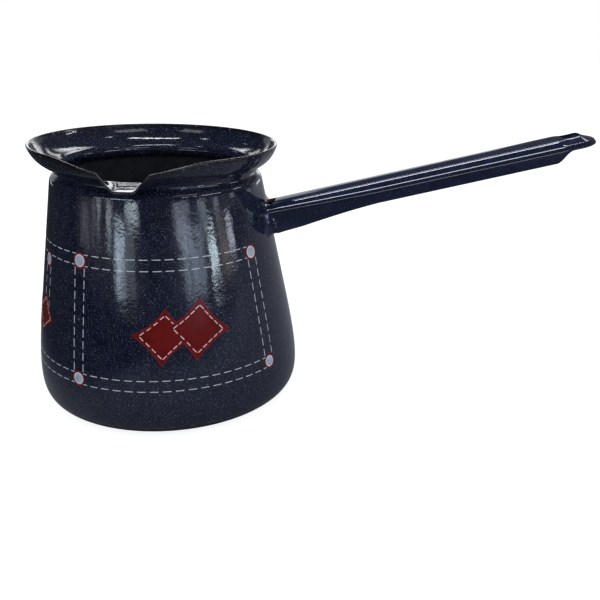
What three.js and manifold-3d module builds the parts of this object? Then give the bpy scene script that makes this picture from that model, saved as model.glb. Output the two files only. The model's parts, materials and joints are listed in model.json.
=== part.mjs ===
// Enamelled steel pot for brewing coffee on a stove: a pressed body with a flared collar and a pouring lip,
// and a long ridged handle that is welded to a flared foot on the wall.
// Millimetres, +Z up, handle towards +X, pouring lip towards -Y, origin at the middle of the base.
import * as THREE from "three";
import { mergeVertices } from "three/addons/utils/BufferGeometryUtils.js";
import Module from "manifold-3d";

const wasm = await Module();
wasm.setup();

// Pot body
const bodyWall = 1.2; // steel with its enamel
const baseRadius = 45.7; // flat that the pot stands on
const bellyRadius = 57.6;
const bellyHeight = 13.6; // widest level
const bellyPower = 2.85; // squareness of the corner between base and belly
const kneeHeight = 22; // where the wall's straight line would meet the belly
const taperHeight = 43.5; // the wall is straight above this
const shoulderRadius = 43.5;
const shoulderHeight = 97.6; // top of the straight wall
const shoulderRound = 1.5;
const neckRadius = 41.2; // groove under the collar
const neckRise = 1.9; // shoulder up to the groove's narrowest level
const neckRound = 0.9;
const collarHeight = 101.6; // where the collar leaves the neck
const rimRadius = 50.5;
const rimHeight = 110.4; // outer edge of the rim
const collarSag = 1.75; // depth of the collar's bowl below a straight flare

// Pouring lip, pressed into the collar
const spoutSpread = 40; // degrees to each side over which the rim bends out
const spoutBend = 24; // degrees that the collar bends out in the middle
const notchSpread = 10.5; // degrees to each side of the pouring notch
const notchFloor = 0.38; // share of the notch that is level, between its straight sides
const lipHeight = 100.4;
const lipSag = 0.5;

// Handle, along its own axis from the joint with the foot
const handleWall = 1.1;
const handleHeight = 87.1; // where the line of the handle's top meets the wall
const handleRise = 14.2; // degrees above level
const handleLength = 140.4;
const landHalf = 7; // half width of the flat top
const landDrop = 0.7; // crown of the flat top
const bevelWidth = 1.9; // upper side facet
const bevelDrop = 2.1;
const cheekWidth = 0.7; // lower side facet
const cheekDrop = 1.85;
const fluteDepth = 0.3; // hollow of each side facet
const skirtDepth = 3.95; // plain side below the facets
const skirtSplay = 0.2;
const rootLength = 46; // over which the section changes from the root to the grip
const rootEase = 1.4; // the change is fastest at the root
const rootBevelWidth = 1.1;
const rootBevelDrop = 1.4;
const rootCheekWidth = 0.6;
const rootCheekDrop = 1.4;
const rootSkirtDepth = 9.5;
const tipLength = 5; // rounded end of the flat top
const tipBow = 1.3; // the rounded end bends down
const tongueLength = 11.3; // end of the handle without skirts
const tongueEdge = 0.5;
const skirtRun = 7.7; // length of the curve that ends the skirts
const hangRadius = 4.25;
const hangInset = 10.6; // middle of the hang hole to the tip
const noseInset = 17; // where the flat top starts to narrow, from the tip
const noseRun = 4;
const noseNarrow = 2.2; // taken off each side of the flat top
const noseDip = 0.1; // sink of the narrow stretch
const ventHalf = 5.7; // oval gap in the top over the joint
const ventLength = 1.9;

// Foot and welds
const footLength = 2.5; // wall to joint, along the handle's top
const footSleeve = 0.35; // share of the foot that is straight before it flares
const footFlareHigh = 8.2; // side flare at the top
const footFlareLow = 2.6; // side flare at the bottom
const footFlareTop = 1.3;
const footFlareBottom = 2;
const footCornerRadius = 4;
const seatGap = 0.3; // between pieces that touch
const beadHalfWidth = 1;
const beadProud = 0.9;
const beadHalfHeight = 2.8;

// Mesh steps
const bodyColumns = 84;
const columnPull = 0.72; // draws the columns together at the lip
const bellySteps = 5;
const curveSteps = 4;
const collarSteps = 5;
const rootSteps = 6;
const runSteps = 5;
const tipSteps = 6;
const flareSteps = 4;
const cornerSteps = 3;
const roundSides = 32;

const degree = Math.PI / 180;
const { clamp, lerp, smoothstep } = THREE.MathUtils;

// A closed solid from a geometry, without its zero-width triangles
function solid(geometry) {
  const bare = new THREE.BufferGeometry();
  bare.setAttribute("position", geometry.getAttribute("position"));
  bare.setIndex(geometry.index);
  const merged = mergeVertices(bare, 1e-4);
  const corners = merged.index.array;
  const triVerts = [];
  for (let i = 0; i < corners.length; i += 3) {
    const [a, b, c] = corners.slice(i, i + 3);
    if (a !== b && b !== c && c !== a) triVerts.push(a, b, c);
  }
  const vertProperties = new Float32Array(merged.getAttribute("position").array);
  const mesh = new wasm.Mesh({ numProp: 3, vertProperties, triVerts: new Uint32Array(triVerts) });
  return new wasm.Manifold(mesh);
}

function geometryOf(manifold) {
  const mesh = manifold.getMesh();
  const geometry = new THREE.BufferGeometry();
  geometry.setAttribute("position", new THREE.BufferAttribute(mesh.vertProperties, 3));
  geometry.setIndex(new THREE.BufferAttribute(mesh.triVerts, 1));
  geometry.computeVertexNormals();
  return geometry;
}

// A surface through loops of points, closed round each loop and from the last loop back to the first
function ringSolid(loops) {
  const count = loops[0].length;
  const index = [];
  loops.forEach((loop, i) => {
    const next = (i + 1) % loops.length;
    for (let j = 0; j < count; j++) {
      const k = (j + 1) % count;
      index.push(i * count + j, i * count + k, next * count + j);
      index.push(i * count + k, next * count + k, next * count + j);
    }
  });
  const geometry = new THREE.BufferGeometry().setFromPoints(loops.flat());
  geometry.setIndex(index);
  return geometry;
}

// Unit normals to the right of a run of 2-D points
function normalsOf(points, closed) {
  const last = points.length - 1;
  return points.map((point, i) => {
    const before = i > 0 ? points[i - 1] : closed ? points[last] : point;
    const after = i < last ? points[i + 1] : closed ? points[0] : point;
    const run = after.clone().sub(before).normalize();
    return new THREE.Vector2(run.y, -run.x);
  });
}

// Radius of the wall's outside on its straight stretch
const wallSlope = (bellyRadius - shoulderRadius) / (shoulderHeight - kneeHeight);
const wallRadius = (z) => shoulderRadius + (shoulderHeight - z) * wallSlope;

// Outside of the body from the middle of the base to the collar, as radius and height
function wallOutline() {
  const path = new THREE.Path();
  path.moveTo(0, 0);
  path.lineTo(baseRadius, 0);
  for (let i = 1; i <= bellySteps; i++) {
    const turn = (i / bellySteps) * 90 * degree;
    const out = i < bellySteps ? Math.sin(turn) ** (2 / bellyPower) : 1;
    const up = i < bellySteps ? 1 - Math.cos(turn) ** (2 / bellyPower) : 1;
    path.lineTo(baseRadius + (bellyRadius - baseRadius) * out, bellyHeight * up);
  }
  path.quadraticCurveTo(bellyRadius, kneeHeight, wallRadius(taperHeight), taperHeight);
  const shoulder = new THREE.Vector2(shoulderRadius, shoulderHeight);
  const groove = new THREE.Vector2(neckRadius, shoulderHeight + neckRise);
  const slope = groove.clone().sub(shoulder).normalize();
  const ledge = shoulder.clone().addScaledVector(slope, shoulderRound);
  const valley = groove.clone().addScaledVector(slope, -neckRound);
  const wallTop = shoulderHeight - shoulderRound;
  path.lineTo(wallRadius(wallTop), wallTop);
  path.quadraticCurveTo(shoulder.x, shoulder.y, ledge.x, ledge.y);
  path.lineTo(valley.x, valley.y);
  path.quadraticCurveTo(groove.x, groove.y, neckRadius, groove.y + neckRound);
  path.lineTo(neckRadius, collarHeight);
  return path.getPoints(curveSteps);
}

// The collar is a bowl-shaped flare on a chord from the neck to the rim, which bends out at the lip
const collarLength = Math.hypot(rimRadius - neckRadius, rimHeight - collarHeight);
const collarAngle = Math.atan2(rimHeight - collarHeight, rimRadius - neckRadius);
const lipAngle = Math.asin((lipHeight - collarHeight) / collarLength);

function collarAt(turn) {
  const away = Math.abs(turn) / degree;
  const bendAt = (a) => spoutBend * degree * 0.5 * (1 + Math.cos(Math.min(a / spoutSpread, 1) * Math.PI));
  if (away >= notchSpread) return { angle: collarAngle - bendAt(away), sag: collarSag };
  const share = clamp((away / notchSpread - notchFloor) / (1 - notchFloor), 0, 1);
  const corner = collarAngle - bendAt(notchSpread);
  return { angle: lerp(lipAngle, corner, share), sag: lerp(lipSag, collarSag, share) };
}

// Closed section of the body at one angle from the lip: outside, rounded rim, inside
function bodySection(wall, turn) {
  const { angle, sag } = collarAt(turn);
  const along = new THREE.Vector2(Math.cos(angle), Math.sin(angle));
  const under = new THREE.Vector2(along.y, -along.x);
  const outside = [...wall];
  for (let i = 1; i <= collarSteps; i++) {
    const t = i / collarSteps;
    const point = new THREE.Vector2(neckRadius, collarHeight);
    point.addScaledVector(along, collarLength * t).addScaledVector(under, 4 * sag * t * (1 - t));
    outside.push(point);
  }
  const normals = normalsOf(outside, false);
  const inside = outside.map((p, i) => p.clone().addScaledVector(normals[i], -bodyWall));
  inside[0].x = 0;
  const last = outside.length - 1;
  const edge = outside[last].clone().lerp(inside[last], 0.5);
  edge.add(new THREE.Vector2(-normals[last].y, normals[last].x).multiplyScalar(bodyWall / 3));
  return [...outside, edge, ...inside.reverse()];
}

function potBody() {
  const wall = wallOutline();
  const geometry = new THREE.LatheGeometry(bodySection(wall, Math.PI), bodyColumns);
  const place = geometry.getAttribute("position");
  for (let i = 0; i <= bodyColumns; i++) {
    const even = (i / bodyColumns) * 2 * Math.PI;
    const turn = i < bodyColumns ? even - columnPull * Math.sin(even) : 0;
    const fromLip = turn > Math.PI ? turn - 2 * Math.PI : turn;
    const section = bodySection(wall, fromLip);
    section.forEach((p, j) => {
      place.setXYZ(i * section.length + j, p.x * Math.sin(turn), -p.x * Math.cos(turn), p.y);
    });
  }
  return geometryOf(solid(geometry));
}

// Half section of the handle at a length from the joint: outward from the flat top's edge, and height
function handleProfile(x) {
  const grip = 1 - (1 - clamp(x / rootLength, 0, 1)) ** rootEase;
  const nose = smoothstep(x, handleLength - noseInset, handleLength - noseInset + noseRun);
  const skirtEnd = handleLength - tongueLength;
  const skirtLeft = 1 - smoothstep(x, skirtEnd - skirtRun, skirtEnd);
  const skirt = tongueEdge + lerp(rootSkirtDepth, skirtDepth, grip) * skirtLeft;
  const top = new THREE.Vector2(-noseNarrow * nose, -landDrop - noseDip * nose);
  const ridge = new THREE.Vector2(
    lerp(rootBevelWidth, bevelWidth, grip),
    -landDrop - lerp(rootBevelDrop, bevelDrop, grip),
  );
  const brow = new THREE.Vector2(
    ridge.x + lerp(rootCheekWidth, cheekWidth, grip),
    ridge.y - lerp(rootCheekDrop, cheekDrop, grip),
  );
  const hem = new THREE.Vector2(brow.x + skirtSplay * skirtLeft, brow.y - skirt);
  return [top, hollow(top, ridge), ridge, hollow(ridge, brow), brow, hem];
}

// Middle of a side facet, sunk to a flute
function hollow(from, to) {
  const run = to.clone().sub(from);
  const inward = new THREE.Vector2(run.y, -run.x).setLength(fluteDepth);
  return from.clone().lerp(to, 0.5).add(inward);
}

// Half width and depth of the handle's section at the joint
const rootHalf = landHalf + rootBevelWidth + rootCheekWidth + skirtSplay;
const rootDepth = landDrop + rootBevelDrop + rootCheekDrop + tongueEdge + rootSkirtDepth;

// The same half section on the inside of the sheet
function insideOf(profile) {
  const crown = new THREE.Vector2(-landHalf, 0);
  const normals = normalsOf([crown, ...profile], false).slice(1);
  return profile.map((p, i) => p.clone().addScaledVector(normals[i], handleWall));
}

// One line across the handle, from one hem over the top to the other, at a station on its length
function acrossHandle(station, inner) {
  const outer = handleProfile(station.x);
  const profile = inner ? insideOf(outer) : outer;
  const bow = tipBow * Math.sin(station.turn) ** 2;
  const side = (sign) =>
    profile.map((p, i) => {
      const reach = (tipLength + p.x) * Math.sin(station.turn);
      const half = (landHalf + p.x) * Math.cos(station.turn);
      return new THREE.Vector3(station.x + reach, sign * half, p.y - bow * (1 - i / (profile.length - 1)));
    });
  const crownX = station.x + (tipLength + profile[0].x) * Math.sin(station.turn);
  const crownZ = outer[0].y - bow + landDrop * Math.cos(station.turn) - (inner ? handleWall : 0);
  return [...side(-1).reverse(), new THREE.Vector3(crownX, 0, crownZ), ...side(1)];
}

function handleStations() {
  const roundStart = handleLength - tipLength - bevelWidth - cheekWidth;
  const skirtEnd = handleLength - tongueLength;
  const stations = [];
  for (let i = 0; i <= rootSteps; i++) stations.push({ x: (rootLength * i) / rootSteps, turn: 0 });
  for (let i = 0; i <= runSteps; i++) {
    stations.push({ x: skirtEnd - skirtRun * (1 - i / runSteps), turn: 0 });
  }
  for (let i = 0; i <= tipSteps; i++) stations.push({ x: roundStart, turn: (i / tipSteps) * 90 * degree });
  return stations;
}

function handle() {
  const sheet = handleStations().map((station) => [
    ...acrossHandle(station, false),
    ...acrossHandle(station, true).reverse(),
  ]);
  const count = sheet[0].length;
  const half = count / 2;
  const index = [];
  for (let i = 0; i + 1 < sheet.length; i++) {
    for (let j = 0; j < count; j++) {
      const k = (j + 1) % count;
      index.push(i * count + j, (i + 1) * count + j, i * count + k);
      index.push(i * count + k, (i + 1) * count + j, (i + 1) * count + k);
    }
  }
  for (let j = 0; j + 1 < half; j++) {
    const below = count - 1 - j;
    index.push(j, j + 1, below, j + 1, below - 1, below);
  }
  const channel = new THREE.BufferGeometry().setFromPoints(sheet.flat());
  channel.setIndex(index);
  const hang = new THREE.CylinderGeometry(hangRadius, hangRadius, 2 * rootDepth, roundSides);
  hang.rotateX(90 * degree).translate(handleLength - hangInset, 0, 0);
  return geometryOf(solid(channel).subtract(solid(hang)).subtract(ventCutter()));
}

// Oval gap in the top, half in the handle and half in the foot
function ventCutter() {
  const vent = new THREE.CylinderGeometry(1, 1, rootDepth, roundSides);
  vent.rotateX(90 * degree).scale(ventLength, ventHalf, 1);
  return solid(vent);
}

// The joint of handle and foot, where the handle's own frame has its origin
const jointTilt = handleRise * degree;
const joint = new THREE.Vector3(
  wallRadius(handleHeight) + footLength * Math.cos(jointTilt),
  0,
  handleHeight + footLength * Math.sin(jointTilt),
);

// Where the wall lies along the handle's axis, beside the axis by y and above it by z
function wallAlong(y, z) {
  let x = -footLength;
  for (let i = 0; i < 40; i++) {
    const out = joint.x + x * Math.cos(jointTilt) - z * Math.sin(jointTilt);
    const height = joint.z + x * Math.sin(jointTilt) + z * Math.cos(jointTilt);
    x -= Math.hypot(out, y) - wallRadius(height) - seatGap;
  }
  return x;
}

// Outline of the foot at the joint: the handle's root section, closed below with round corners
function footOutline() {
  const profile = handleProfile(0);
  const hem = profile.pop();
  const right = profile.map((p) => new THREE.Vector2(landHalf + p.x, p.y));
  const side = landHalf + hem.x;
  const corner = new THREE.EllipseCurve(side - footCornerRadius, hem.y + footCornerRadius,
    footCornerRadius, footCornerRadius, 0, -90 * degree, true);
  right.push(...corner.getPoints(cornerSteps));
  const left = right.map((p) => new THREE.Vector2(-p.x, p.y)).reverse();
  return [new THREE.Vector2(0, 0), ...right, new THREE.Vector2(0, hem.y), ...left];
}

function handleFoot() {
  const outline = footOutline();
  const normals = normalsOf(outline, true).map((n) => n.negate());
  const loop = (share, inset) =>
    outline.map((p, i) => {
      const n = normals[i];
      const side = lerp(footFlareLow, footFlareHigh, 1 + p.y / rootDepth) * Math.abs(n.x);
      const flare = side + Math.abs(n.y) * (n.y > 0 ? footFlareTop : footFlareBottom);
      const bow = clamp((share - footSleeve) / (1 - footSleeve), 0, 1);
      const spot = p.clone().addScaledVector(n, flare * (1 - Math.sqrt(1 - bow * bow)) - inset);
      const x = lerp(-seatGap, wallAlong(spot.x, spot.y), share);
      return new THREE.Vector3(x, spot.x, spot.y);
    });
  const shares = [0];
  for (let i = 0; i <= flareSteps; i++) {
    shares.push(footSleeve + (1 - footSleeve) * Math.sin((i / flareSteps) * 90 * degree));
  }
  const outer = shares.map((share) => loop(share, 0));
  const inner = shares.map((share) => loop(share, handleWall)).reverse();
  return geometryOf(solid(ringSolid([...outer, ...inner])).subtract(ventCutter()));
}

// Half a lens of weld metal over the joint, on one side of the handle
function weldBead(side) {
  const seat = rootHalf + seatGap;
  const middle = -landDrop - rootBevelDrop - rootCheekDrop - rootSkirtDepth / 2;
  const lens = new THREE.SphereGeometry(1, roundSides / 2, roundSides / 4);
  lens.scale(beadHalfWidth, beadProud, beadHalfHeight).translate(0, side * seat, middle);
  const behind = new THREE.BoxGeometry(4 * beadHalfWidth, 2 * beadProud, 4 * beadHalfHeight);
  behind.translate(0, side * (seat - beadProud), middle);
  return geometryOf(solid(lens).subtract(solid(behind)));
}

function piece(name, geometry, color, roughness) {
  const mesh = new THREE.Mesh(geometry, new THREE.MeshStandardMaterial({ color, roughness, metalness: 0 }));
  mesh.name = name;
  return mesh;
}

const pot = new THREE.Group();
pot.add(piece("pot_body", potBody(), 0x1a1f38, 0.12));

const arm = new THREE.Group();
arm.position.copy(joint);
arm.rotation.y = -jointTilt;
arm.add(piece("handle_foot", handleFoot(), 0x191d36, 0.16));
arm.add(piece("handle", handle(), 0x171b34, 0.14));
arm.add(piece("handle_weld_front", weldBead(-1), 0x20243a, 0.22));
arm.add(piece("handle_weld_back", weldBead(1), 0x20243a, 0.22));
pot.add(arm);

export default pot;
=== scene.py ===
import json
from math import asin, atan2, cos, degrees, exp, hypot, pi, radians, sin, sqrt, tan
import bmesh
import bpy
from mathutils import Matrix, Vector

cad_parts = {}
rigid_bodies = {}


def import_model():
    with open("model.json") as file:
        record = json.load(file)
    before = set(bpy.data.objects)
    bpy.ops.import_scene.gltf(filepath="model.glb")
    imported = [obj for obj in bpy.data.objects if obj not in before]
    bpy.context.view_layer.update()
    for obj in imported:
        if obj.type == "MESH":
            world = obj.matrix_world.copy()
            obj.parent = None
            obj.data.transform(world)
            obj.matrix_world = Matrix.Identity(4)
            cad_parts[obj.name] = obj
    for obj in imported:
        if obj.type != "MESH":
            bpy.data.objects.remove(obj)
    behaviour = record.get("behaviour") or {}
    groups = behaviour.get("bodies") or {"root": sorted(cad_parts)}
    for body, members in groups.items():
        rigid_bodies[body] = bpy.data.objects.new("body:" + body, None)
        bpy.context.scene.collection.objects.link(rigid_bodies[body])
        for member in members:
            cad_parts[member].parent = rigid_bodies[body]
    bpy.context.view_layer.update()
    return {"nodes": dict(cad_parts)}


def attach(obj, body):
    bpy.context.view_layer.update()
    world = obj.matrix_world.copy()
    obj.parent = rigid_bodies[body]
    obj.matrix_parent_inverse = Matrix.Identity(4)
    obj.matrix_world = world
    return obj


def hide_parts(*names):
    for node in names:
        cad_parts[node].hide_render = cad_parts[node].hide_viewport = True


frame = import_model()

mm = 0.001
scene = bpy.context.scene
scene.view_settings.view_transform = "Standard"
print("coffee pot: frame loaded,", len(frame["nodes"]), "CAD nodes")

# Camera at the photo's viewing angle, in the pot's own millimetres
cameraView = {
    "place": (81.12, -325.34, 164.87),
    "heading": 2.0,  # degrees right of +Y
    "pitch": 25.18,  # degrees down
    "roll": 2.25,
    "lens": 44.97, "sensor": 36.0, "shift": (-0.1127, 0.1001), "clip": (0.01, 20.0),
}


def addCamera(view):
    heading, pitch, roll = (radians(view[k]) for k in ("heading", "pitch", "roll"))
    data = bpy.data.cameras.new("potCamera")
    data.lens, data.sensor_width = view["lens"], view["sensor"]
    data.shift_x, data.shift_y = view["shift"]
    data.clip_start, data.clip_end = view["clip"]
    camera = bpy.data.objects.new("potCamera", data)
    tilt = Matrix.Rotation(pi / 2 - pitch, 4, "X") @ Matrix.Rotation(roll, 4, "Z")
    turn = Matrix.Rotation(-heading, 4, "Z") @ tilt
    camera.matrix_world = Matrix.Translation(Vector(view["place"]) * mm) @ turn
    scene.collection.objects.link(camera)
    scene.camera = camera


addCamera(cameraView)
print("coffee pot: camera set")


# Small helpers for nodes and meshes
def setInputs(tree, node, inputs):  # another node's output is linked, and a number or colour is set
    for key, value in inputs.items():
        if isinstance(value, bpy.types.NodeSocket):
            tree.links.new(value, node.inputs[key])
        else:
            node.inputs[key].default_value = value


def addNode(tree, kind, inputs={}, **values):
    node = tree.nodes.new(kind)
    for key, value in values.items():
        setattr(node, key, value)
    setInputs(tree, node, inputs)
    return node


def mathNode(tree, operation, *values, clamp=False):
    inputs = dict(enumerate(values))
    return addNode(tree, "ShaderNodeMath", inputs, operation=operation, use_clamp=clamp).outputs[0]


def times(tree, first, second):
    return mathNode(tree, "MULTIPLY", first, second)


def mixColour(tree, factor, first, second):
    return addNode(tree, "ShaderNodeMix", {0: factor, 6: first, 7: second}, data_type="RGBA").outputs[2]


def spread(tree, value, fromLow, fromHigh, toLow=0.0, toHigh=1.0):
    inputs = dict(enumerate((value, fromLow, fromHigh, toLow, toHigh)))
    return addNode(tree, "ShaderNodeMapRange", inputs, interpolation_type="SMOOTHSTEP").outputs[0]


def noise(tree, place, scale, detail, output="Fac"):
    inputs = {"Vector": place, "Scale": scale, "Detail": detail}
    return addNode(tree, "ShaderNodeTexNoise", inputs).outputs[output]


def axes(tree, vector):
    return addNode(tree, "ShaderNodeSeparateXYZ", {0: vector}).outputs


def rays(tree):  # what the camera sees, also through clear things, and what gloss mirrors
    path = addNode(tree, "ShaderNodeLightPath").outputs
    return mathNode(tree, "MAXIMUM", path["Is Camera Ray"], path["Is Transmission Ray"]), path["Is Glossy Ray"]


def linear(red, green, blue):  # a colour as read off a screen, 0 to 255
    def channel(v):
        v /= 255
        return v / 12.92 if v <= 0.04045 else ((v + 0.055) / 1.055) ** 2.4
    return (channel(red), channel(green), channel(blue), 1.0)


def makePiece(name, points, faces, materials, faceSlots=None, sharpAngle=50, replaces=None):
    mesh = bpy.data.meshes.new(name)
    mesh.from_pydata([Vector(p) * mm for p in points], [], faces)
    for material in materials:
        mesh.materials.append(material)
    if faceSlots:
        mesh.polygons.foreach_set("material_index", faceSlots)
    work = bmesh.new()
    work.from_mesh(mesh)
    bmesh.ops.remove_doubles(work, verts=work.verts, dist=2e-6)
    bmesh.ops.dissolve_degenerate(work, edges=work.edges, dist=1e-7)
    bmesh.ops.recalc_face_normals(work, faces=work.faces)
    work.to_mesh(mesh)
    work.free()
    mesh.shade_smooth()
    mesh.set_sharp_from_angle(angle=radians(sharpAngle))
    piece = bpy.data.objects.new(name, mesh)
    scene.collection.objects.link(piece)
    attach(piece, "root")
    if replaces:
        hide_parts(replaces)


def mixed(a, b, share):
    return a + (b - a) * share


def sharesOf(count, start=1):  # even steps up to 1
    return [k / count for k in range(start, count + 1)]


def clamped(value):
    return max(0.0, min(1.0, value))


def eased(value, low, high):
    share = clamped((value - low) / (high - low))
    return share * share * (3 - 2 * share)


def bend(start, control, end, share):  # point on a quadratic curve
    a = start.lerp(control, share)
    return a.lerp(control.lerp(end, share), share)


# Node groups that several finishes share
def newGroup(name, colours, numbers, results):
    group = bpy.data.node_groups.new(name, "ShaderNodeTree")
    sockets = [(title, "INPUT", "Color") for title in colours] + [(title, "INPUT", "Float") for title in numbers]
    for title, way, kind in sockets + [(title, "OUTPUT", kind) for title, kind in results.items()]:
        group.interface.new_socket(name=title, in_out=way, socket_type="NodeSocket" + kind)
    given = group.nodes.new("NodeGroupInput").outputs
    result = group.nodes.new("NodeGroupOutput")
    return group, given, result, addNode(group, "ShaderNodeTexCoord").outputs["Object"]


def makeFleckGroup():  # fired enamel: uneven ground with fine pale flecks
    colours, numbers = ("Ground", "Deep", "Fleck"), ("Fleck Scale", "Fleck Size", "Fleck Amount")
    group, given, result, place = newGroup("enamelFlecks", colours, numbers, {"Color": "Color"})
    patch = spread(group, noise(group, place, 240, 5), 0.35, 0.65)
    ground = mixColour(group, patch, given["Ground"], given["Deep"])
    inputs = {0: noise(group, place, 250, 1, "Color"), 1: (0.004, 0.004, 0.004), 2: place}
    strewn = addNode(group, "ShaderNodeVectorMath", inputs, operation="MULTIPLY_ADD")  # no rows or rings of flecks
    masks = []
    for scaleBy, sizeBy, rare in ((1.0, 1.0, 0.5), (0.6, 0.62, 0.8)):  # fine flecks, and fewer on a coarser grid
        scale = times(group, given["Fleck Scale"], scaleBy)
        cells = addNode(group, "ShaderNodeTexVoronoi", {"Vector": strewn.outputs[0], "Scale": scale}).outputs
        chance = addNode(group, "ShaderNodeSeparateColor", {0: cells["Color"]}).outputs
        uneven = mathNode(group, "MULTIPLY_ADD", chance[0], 0.9 * sizeBy, 0.35 * sizeBy)
        size = times(group, given["Fleck Size"], uneven)
        core = times(group, size, 0.45)
        dot = spread(group, cells["Distance"], core, size, 1.0, 0.0)
        kept = times(group, dot, mathNode(group, "GREATER_THAN", chance[1], rare))
        strength = mathNode(group, "MULTIPLY_ADD", chance[2], 0.75, 0.25)
        masks.append(times(group, kept, strength))
    most = mathNode(group, "MAXIMUM", *masks)
    mask = mathNode(group, "MULTIPLY", most, given["Fleck Amount"], clamp=True)
    setInputs(group, result, {"Color": mixColour(group, mask, ground, given["Fleck"])})
    return group


def makeGlazeGroup():  # the slight waves and dull spots of a dipped, fired coat
    group, given, result, place = newGroup(
        "glazeWaves", (), ("Gloss", "Dulling", "Wave Scale"), {"Roughness": "Float", "Height": "Float"})
    smear = spread(group, noise(group, place, 130, 5), 0.45, 0.75)
    dull = times(group, smear, given["Dulling"])
    waves, fine = noise(group, place, given["Wave Scale"], 1), noise(group, place, 850, 2)
    setInputs(group, result, {
        "Roughness": mathNode(group, "ADD", dull, given["Gloss"]),
        "Height": mathNode(group, "MULTIPLY_ADD", fine, 0.26, waves),
    })
    return group


def makeWearAndShadeGroup():  # soft blotches where a printed or thin coat has lost some colour; the same mix mottles the painted shade and painted reflection line at the base edge
    group, given, result, place = newGroup(
        "coatWear", ("Fresh", "Worn"), ("Scale", "Wear From", "Wear To"), {"Color": "Color"})
    mask = spread(group, noise(group, place, given["Scale"], 5), given["Wear From"], given["Wear To"])
    setInputs(group, result, {"Color": mixColour(group, mask, given["Fresh"], given["Worn"])})
    return group


fleckGroup = makeFleckGroup()
glazeGroup = makeGlazeGroup()
wearAndShadeGroup = makeWearAndShadeGroup()


def placeGroup(tree, group, settings):  # each input takes the setting of its own name
    node = addNode(tree, "ShaderNodeGroup", node_tree=group)
    for socket in node.inputs:
        value = settings[socket.name[0].lower() + socket.name[1:].replace(" ", "")]
        socket.default_value = linear(*value) if socket.type == "RGBA" else value
    return node.outputs


def startFinish(name):
    material = bpy.data.materials.new(name)
    material.use_nodes = True
    return material, material.node_tree, material.node_tree.nodes["Principled BSDF"]


def coatFinish(name, group, settings):  # a group's colour under the glaze
    material, tree, shader = startFinish(name)
    glaze = placeGroup(tree, glazeGroup, settings)
    bump = {"Strength": 1.0, "Distance": settings["waveDepth"], "Height": glaze["Height"]}
    setInputs(tree, shader, {
        "Base Color": placeGroup(tree, group, settings)["Color"], "Roughness": glaze["Roughness"],
        "IOR": settings["ior"], "Specular IOR Level": settings["shine"],
        "Normal": addNode(tree, "ShaderNodeBump", bump).outputs["Normal"],
    })
    return material


# What a coat has where a piece's own settings don't say otherwise
enamelCoat = {"shine": 0.5, "ior": 1.5}
printCoat = {
    "shine": 0.2, "ior": 1.45, "scale": 900.0, "wearFrom": 0.5, "wearTo": 0.75,
    "gloss": 0.12, "dulling": 0.1, "waveScale": 300.0, "waveDepth": 0.00001,
}


def enamelFinish(name, settings):
    return coatFinish(name, fleckGroup, {**enamelCoat, **settings})


def printAndShadeFinish(name, settings):  # one fired transfer colour; also the painted shade and painted reflection line at the base edge
    return coatFinish(name, wearAndShadeGroup, {**printCoat, **settings})


# Pot body: pressed shell with shoulder, neck groove, flared collar and pouring lip
potBody = {
    "wall": 1.2, "baseRadius": 45.7, "bellyRadius": 57.6, "bellyHeight": 13.6, "bellyPower": 2.85,
    "kneeHeight": 22.0, "taperHeight": 43.5, "shoulderRadius": 43.5, "shoulderHeight": 97.6, "shoulderRound": 1.5,
    "neckRadius": 41.2, "neckRise": 1.9, "neckRound": 0.9, "collarHeight": 101.6, "rimRadius": 50.5,
    "rimHeight": 110.4, "collarSag": 1.75, "spoutSpread": 40.0, "spoutBend": 24.0, "notchSpread": 10.5,
    "notchFloor": 0.38, "notchSoft": 0.004, "lipHeight": 100.4, "lipSag": 0.5, "neckFillet": 2.2,
    "baseSteps": 10, "bellySteps": 28, "kneeSteps": 20, "wallSteps": 24, "shoulderSteps": 8, "grooveSteps": 6,
    "neckSteps": 4, "collarSteps": 18, "rimSteps": 8, "rimBulge": 0.5455,
    "scorchRows": 27, "collarRows": 30,  # rows of faces in the painted shade along the base edge, and inside from the rim down
    "ground": (20, 25, 43), "deep": (14, 18, 34), "fleck": (168, 172, 180),
    "fleckScale": 3100.0, "fleckSize": 0.36, "fleckAmount": 0.58,
    "gloss": 0.05, "dulling": 0.04, "waveScale": 95.0, "waveDepth": 0.00012,
}
potInside = {
    "ground": (44, 46, 52), "deep": (37, 39, 45), "fleck": (92, 96, 106),
    "fleckScale": 1500.0, "fleckSize": 0.2, "fleckAmount": 0.12,
    "gloss": 0.12, "dulling": 0.1, "waveScale": 95.0, "waveDepth": 0.0001,
}
# painted reflection: a lighter line along the top row of the painted base shade
baseSheenLine = {
    "shine": 0.3, "fresh": (66, 69, 76), "worn": (30, 33, 42),
    "scale": 420.0, "wearFrom": 0.42, "wearTo": 0.62, "gloss": 0.2, "dulling": 0.2,
}
# painted shade: a dark band round the base edge, where the pot meets the floor
baseShade = {
    "shine": 0.15, "fresh": (36, 36, 35), "worn": (48, 47, 44),
    "scale": 300.0, "wearFrom": 0.45, "wearTo": 0.7, "gloss": 0.35, "dulling": 0.2,
}
rimBand = {
    "shine": 0.5, "fresh": (14, 14, 18), "worn": (70, 70, 72),
    "scale": 420.0, "wearFrom": 0.56, "wearTo": 0.7, "gloss": 0.16, "dulling": 0.2,
}


def wallRadius(z):  # straight taper
    p = potBody
    slope = (p["bellyRadius"] - p["shoulderRadius"]) / (p["shoulderHeight"] - p["kneeHeight"])
    return p["shoulderRadius"] + (p["shoulderHeight"] - z) * slope


def outsideRadius(z):  # outside of the wall from the belly up to the shoulder
    low, knee, high = potBody["bellyHeight"], potBody["kneeHeight"], potBody["taperHeight"]
    if z >= high:
        return wallRadius(z)
    a, b, c = low - 2 * knee + high, 2 * (knee - low), low - z
    t = (sqrt(b * b - 4 * a * c) - b) / (2 * a)
    return potBody["bellyRadius"] * (1 - t * t) + wallRadius(high) * t * t


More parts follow.
